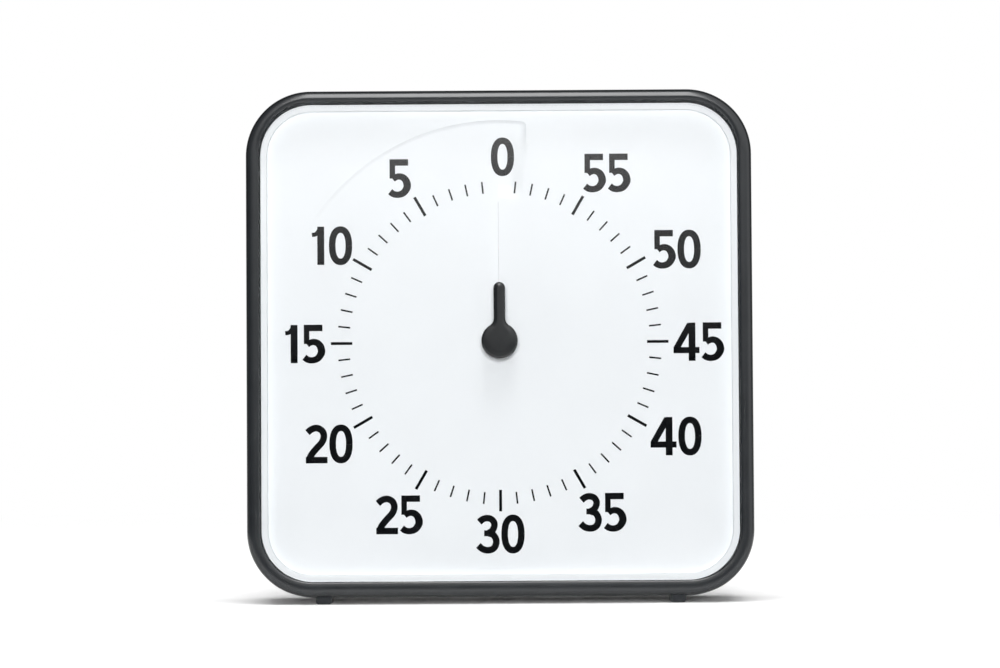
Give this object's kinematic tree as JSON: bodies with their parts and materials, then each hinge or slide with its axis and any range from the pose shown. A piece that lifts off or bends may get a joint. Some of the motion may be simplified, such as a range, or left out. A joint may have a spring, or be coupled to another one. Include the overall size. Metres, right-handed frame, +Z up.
{
  "type": "visual countdown timer",
  "caption": "Square case with a white dial of minutes, a clear lens, and a knob that draws a red disc over the dial.",
  "frame": {"origin": "on the surface that the timer stands on, under the middle of the object's box", "axes": "+Z up, the face looks towards -Y and 4.2 degrees upwards, +X to the right as seen from the front"},
  "size_m": [0.1904, 0.0556, 0.1928],
  "materials": {
    "charcoal_abs": "fine satin moulded ABS",
    "clear_acrylic": "clear polished acrylic",
    "white_dial": "smooth white ABS with printed ticks and numbers",
    "red_film": "thin red polypropylene sheet",
    "knob_abs": "satin dark grey ABS",
    "black_abs": "black moulded plastic",
    "steel": "zinc-plated steel",
    "magnet": "sintered magnet",
    "brass": "turned brass",
    "acetal": "natural acetal",
    "copper_wire": "enamelled copper wire",
    "circuit_laminate": "green solder mask",
    "pale_abs": "pale grey ABS",
    "cell_jacket": "plain printed cell jacket",
    "red_wire": "red PVC insulation",
    "black_wire": "black PVC insulation"
  },
  "bodies": {
    "case": {"front_bezel": "charcoal_abs", "rear_cover": "charcoal_abs", "lens": "clear_acrylic", "dial_plate": "white_dial", "chassis": "black_abs", "chassis_screws": "steel", "movement_front": "black_abs", "movement_rear": "black_abs", "mounting_nut": "brass", "nut_washer": "steel", "stator": "steel", "coil_bobbin": "acetal", "coil_winding": "copper_wire", "circuit_board": "circuit_laminate", "timer_chip": "black_abs", "quartz_crystal": "steel", "buzzer": "black_abs", "switch_body": "black_abs", "battery": "cell_jacket", "battery_spring": "steel", "battery_contact": "steel", "red_lead": "red_wire", "black_lead": "black_wire", "buzzer_leads": "red_wire", "left_foot": "charcoal_abs", "right_foot": "charcoal_abs", "case_screws": "steel"},
    "knob": {"knob": "knob_abs", "centre_shaft": "steel", "clutch_spring": "brass", "shaft_clip": "steel"},
    "disc": {"red_disc": "red_film", "disc_hub": "black_abs"},
    "centre_wheel": {"centre_wheel": "acetal"},
    "third_wheel": {"third_wheel": "acetal"},
    "second_wheel": {"second_wheel": "acetal"},
    "intermediate_wheel": {"intermediate_wheel": "acetal"},
    "rotor": {"rotor_pinion": "acetal", "rotor_magnet": "magnet"},
    "alert_switch": {"alert_switch": "pale_abs"},
    "battery_door": {"battery_door": "charcoal_abs"}
  },
  "joints": [
    {"name": "knob_turn", "type": "hinge", "parent": "case", "child": "knob", "pos_m": [0, 0.00602, 0.09666], "axis": [0, -0.9973, 0.0732], "range_deg": [0, 360]},
    {"name": "disc_rise", "type": "slide", "parent": "knob", "child": "disc", "axis": [0, -0.9973, 0.0732], "range_m": [0, 0.0015]},
    {"name": "second_spin", "type": "hinge", "parent": "case", "child": "second_wheel", "pos_m": [-0.00652, 0.0073, 0.11412], "axis": [0, -0.9973, 0.0732], "continuous": true},
    {"name": "third_spin", "type": "hinge", "parent": "case", "child": "third_wheel", "pos_m": [-0.01247, 0.00655, 0.10384], "axis": [0, -0.9973, 0.0732], "continuous": true},
    {"name": "centre_spin", "type": "hinge", "parent": "case", "child": "centre_wheel", "pos_m": [0, 0.00602, 0.09666], "axis": [0, -0.9973, 0.0732], "continuous": true},
    {"name": "intermediate_spin", "type": "hinge", "parent": "case", "child": "intermediate_wheel", "pos_m": [0.00304, 0.00724, 0.11329], "axis": [0, -0.9973, 0.0732], "continuous": true},
    {"name": "rotor_spin", "type": "hinge", "parent": "case", "child": "rotor", "pos_m": [0.01066, 0.00698, 0.10975], "axis": [0, -0.9973, 0.0732], "continuous": true},
    {"name": "alert_slide", "type": "slide", "parent": "case", "child": "alert_switch", "axis": [1, 0, 0], "range_m": [0, 0.004]},
    {"name": "door_hinge", "type": "hinge", "parent": "case", "child": "battery_door", "pos_m": [0, 0.01534, 0.02895], "axis": [-1, 0, 0], "range_deg": [0, 90]}
  ],
  "couplings": [
    {"joint": "disc_rise", "follows": "knob_turn", "m_per_rad": 0.0002387},
    {"joint": "third_spin", "follows": "second_spin", "ratio": -0.13333},
    {"joint": "centre_spin", "follows": "second_spin", "ratio": 0.016667},
    {"joint": "intermediate_spin", "follows": "second_spin", "ratio": -5},
    {"joint": "rotor_spin", "follows": "second_spin", "ratio": 30}
  ]
}
